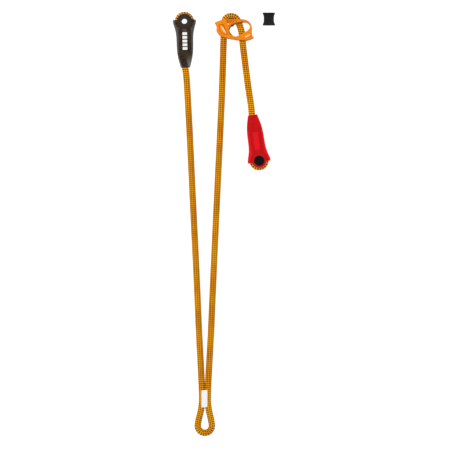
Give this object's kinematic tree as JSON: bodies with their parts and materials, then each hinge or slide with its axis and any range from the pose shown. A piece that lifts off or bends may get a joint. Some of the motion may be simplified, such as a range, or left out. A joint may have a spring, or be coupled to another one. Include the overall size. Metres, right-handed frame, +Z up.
{
  "type": "rope grab lanyard",
  "caption": "Double positioning lanyard of braided rope with an aluminium rope grab as length adjuster, sewn harness loop, moulded end sleeves and a loose rubber keeper.",
  "frame": {"origin": "middle of the footprint of all pieces but the free rope stretches, on the surface the lanyard lies on", "axes": "+Y along the lanyard from the harness loop to the rope grab, +Z up from the surface, +X across from the fixed arm to the adjustable arm"},
  "size_m": [0.1493, 0.6196, 0.016],
  "materials": {
    "rope": "braided polyamide sheath, orange with rows of dark brown picks, matte",
    "thread": "dense white bar-tack sewing thread",
    "inner_thread": "dark sewing thread",
    "smoky_sleeve": "soft moulded plastic, smoky black and translucent",
    "red_sleeve": "soft moulded plastic, red and translucent",
    "black_plug": "black moulded plastic, satin",
    "keeper_rubber": "black moulded rubber",
    "anodised_plate": "forged aluminium, orange anodised, satin",
    "anodised_core": "aluminium, orange anodised, satin",
    "rivet_metal": "aluminium rivets set flush and anodised with the plates"
  },
  "bodies": {
    "harness_loop": {"harness_loop_rope": "rope", "loop_stitching": "thread", "standing_rope": "rope"},
    "fixed_arm": {"fixed_arm_rope": "rope", "fixed_eye_rope": "rope", "fixed_eye_stitching": "inner_thread", "fixed_end_sleeve": "smoky_sleeve", "fixed_end_thimble": "smoky_sleeve"},
    "rope_bight": {"bight_rope": "rope"},
    "rope_grab": {"front_plate": "anodised_plate", "rear_plate": "anodised_plate", "bight_post": "anodised_core", "heel_spacer": "anodised_core", "heel_rivet": "rivet_metal", "bottom_bridge": "anodised_core", "bridge_rivets": "rivet_metal", "nose_spacer": "anodised_core", "nose_rivet": "rivet_metal"},
    "free_end": {"free_rope": "rope", "free_eye_rope": "rope", "free_eye_stitching": "inner_thread", "free_end_sleeve": "red_sleeve", "free_end_thimble": "red_sleeve", "eye_plug": "black_plug", "eye_plug_back": "black_plug"},
    "loose_keeper": {"keeper": "keeper_rubber"}
  },
  "joints": [
    {"name": "fixed_arm_swing", "type": "hinge", "parent": "harness_loop", "child": "fixed_arm", "pos_m": [-0.035, -0.1885, 0.005], "axis": [0, 0, 1], "range_deg": [-2, 27], "deforming": ["fixed_arm_rope"]},
    {"name": "grab_slide", "type": "slide", "parent": "harness_loop", "child": "rope_bight", "axis": [0.0444, 0.999, 0], "range_m": [-0.2, 0.09], "deforming": ["standing_rope"]},
    {"name": "free_end_slide", "type": "slide", "parent": "rope_bight", "child": "free_end", "axis": [-0.1388, 0.9903, 0], "range_m": [-0.201, 0.091], "deforming": ["free_rope"]},
    {"name": "grab_tilt", "type": "hinge", "parent": "rope_bight", "child": "rope_grab", "pos_m": [0.0104, 0.2927, 0.008], "axis": [0, 0, 1], "range_deg": [-7, 8]},
    {"name": "keeper_lift", "type": "slide", "parent": "harness_loop", "child": "loose_keeper", "axis": [0, 0, 1], "range_m": [0, 0.03]}
  ],
  "couplings": [
    {"joint": "free_end_slide", "follows": "grab_slide", "ratio": 1}
  ]
}
